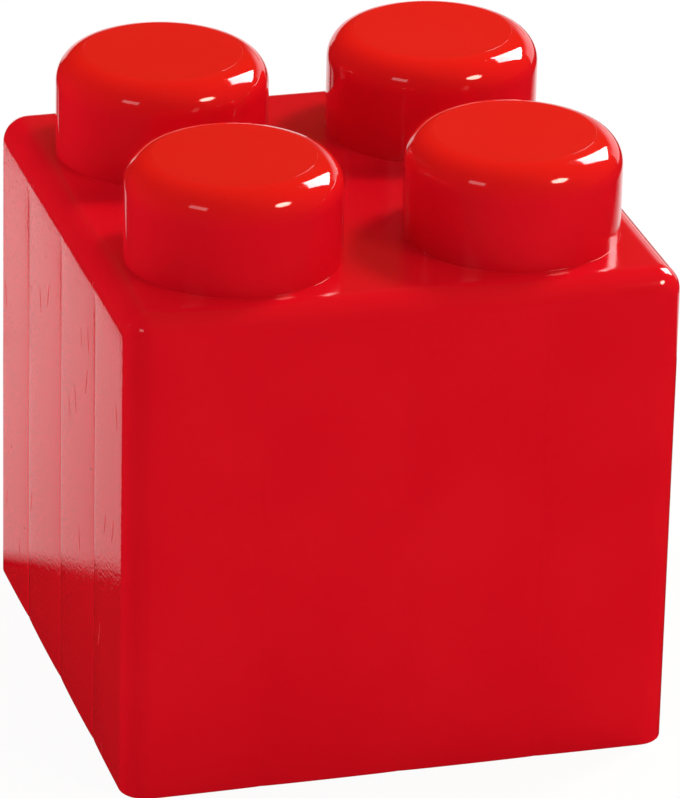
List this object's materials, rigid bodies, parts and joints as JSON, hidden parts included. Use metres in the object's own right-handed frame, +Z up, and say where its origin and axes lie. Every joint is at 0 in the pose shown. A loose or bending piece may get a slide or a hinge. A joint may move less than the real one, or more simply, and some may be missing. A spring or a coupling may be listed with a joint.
{
  "type": "giant building block",
  "caption": "Large hollow toy building block with rounded edges, tall round studs on its deck and an open underside that grips the studs of a block below.",
  "frame": {"origin": "centre of the rim plane, on the surface that the block stands on", "axes": "+Z up along the studs, -Y out of the front face, +X to the right seen from the front"},
  "size_m": [0.247, 0.247, 0.2735],
  "materials": {
    "shell_plastic": "gloss",
    "core_plastic": "semi-gloss",
    "screw_steel": "zinc plated"
  },
  "bodies": {
    "root": {"outer_shell": "shell_plastic", "clutch_core": "core_plastic", "core_screws": "screw_steel"}
  },
  "joints": []
}
